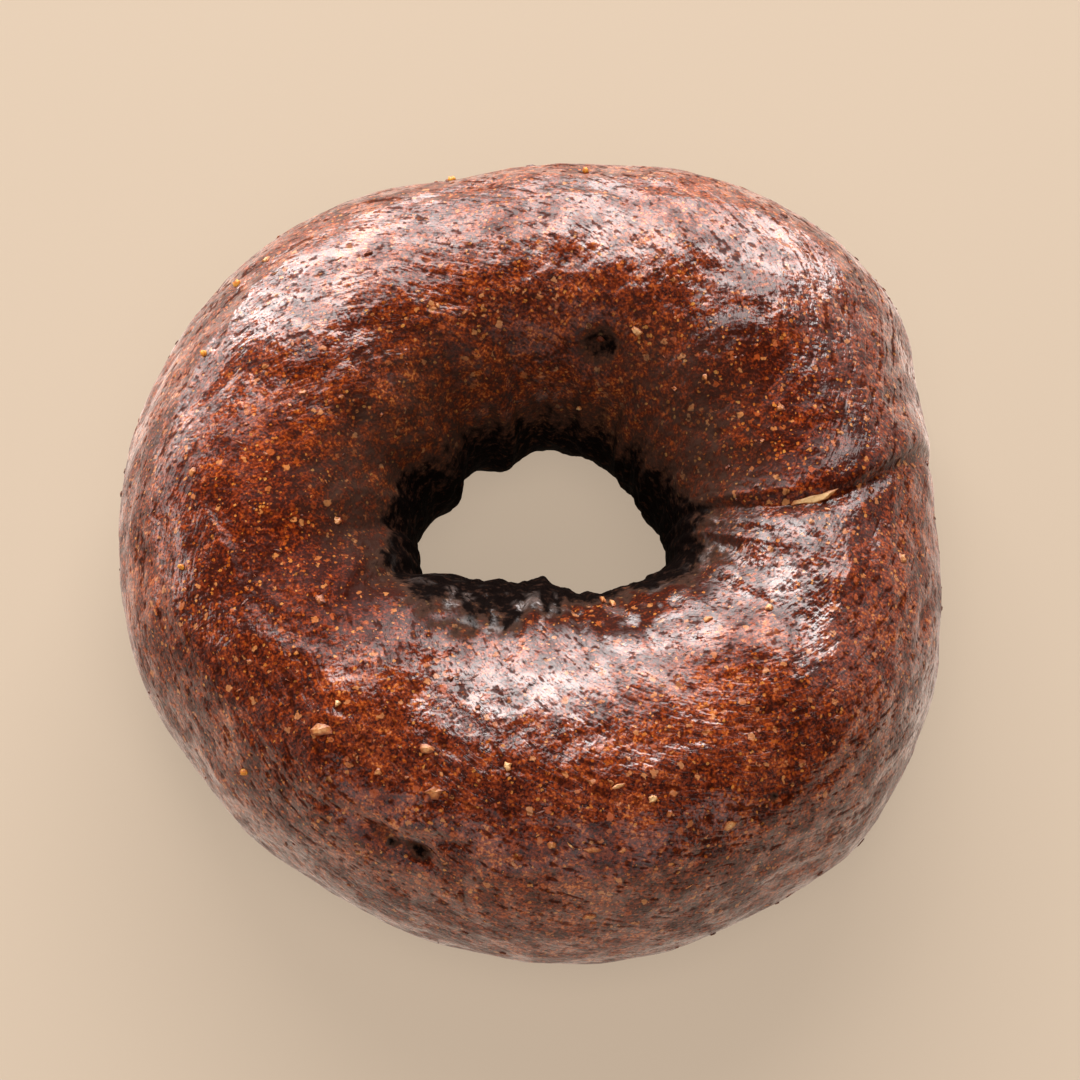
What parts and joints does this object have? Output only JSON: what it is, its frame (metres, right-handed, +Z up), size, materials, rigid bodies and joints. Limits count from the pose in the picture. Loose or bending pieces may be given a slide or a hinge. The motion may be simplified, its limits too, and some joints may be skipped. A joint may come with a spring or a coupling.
{
  "type": "pumpernickel bagel",
  "caption": "Round hand-rolled ring of dark rye bread with a hole through the middle, a lapped join on one side and a flat base.",
  "frame": {"origin": "middle of the bounding box at the level of the flat base", "axes": "+Z up from the base, +X towards the join of the rope's two ends, -Y towards the thickest side of the ring"},
  "size_m": [0.1108, 0.1172, 0.0419],
  "materials": {
    "crust": "glossy boiled and baked dark rye crust, flecked with bran"
  },
  "bodies": {
    "root": {"bagel": "crust"}
  },
  "joints": []
}
